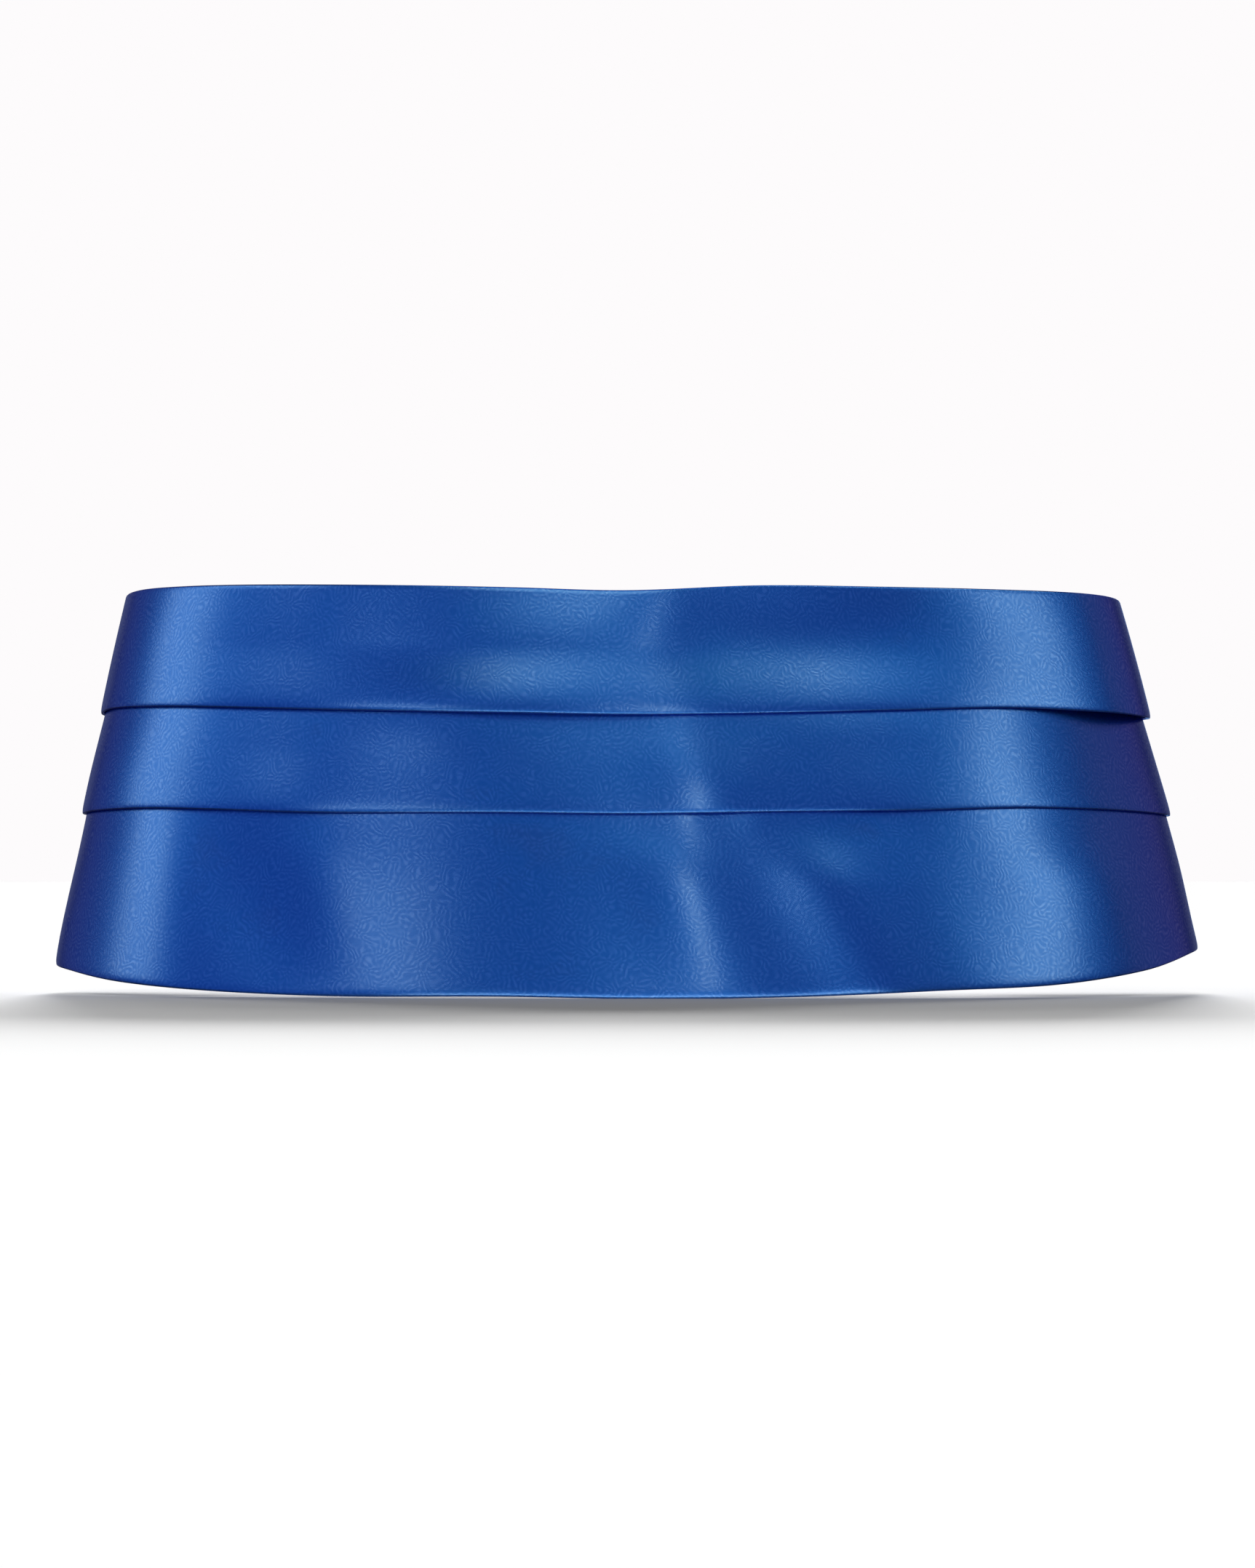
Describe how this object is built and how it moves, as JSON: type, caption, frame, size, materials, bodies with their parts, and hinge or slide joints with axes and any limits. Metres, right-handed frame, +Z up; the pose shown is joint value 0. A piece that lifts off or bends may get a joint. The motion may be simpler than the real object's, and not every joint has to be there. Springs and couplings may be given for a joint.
{
  "type": "cummerbund",
  "caption": "Blue satin cummerbund with overlapping pleated tiers, in its worn shape, with an elastic back strap, slide and flat hook.",
  "frame": {"origin": "on the axis of the waist that it goes round, level with the middle of the back strap", "axes": "+Z up the wearer, -Y out of the centre front, +X to the right as seen from the front"},
  "size_m": [0.365, 0.2433, 0.1276],
  "materials": {
    "satin": "royal blue polyester satin with a soft sheen and a faint worm-like emboss",
    "elastic": "woven elastic dyed to match",
    "nickel": "nickel-plated steel"
  },
  "bodies": {
    "root": {"pleat_upper": "satin", "pleat_middle": "satin", "pleat_lower": "satin", "end_tab_left": "satin", "end_tab_right": "satin", "strap_left": "elastic", "strap_right": "elastic", "strap_slide": "nickel", "strap_hook": "nickel"}
  },
  "joints": []
}
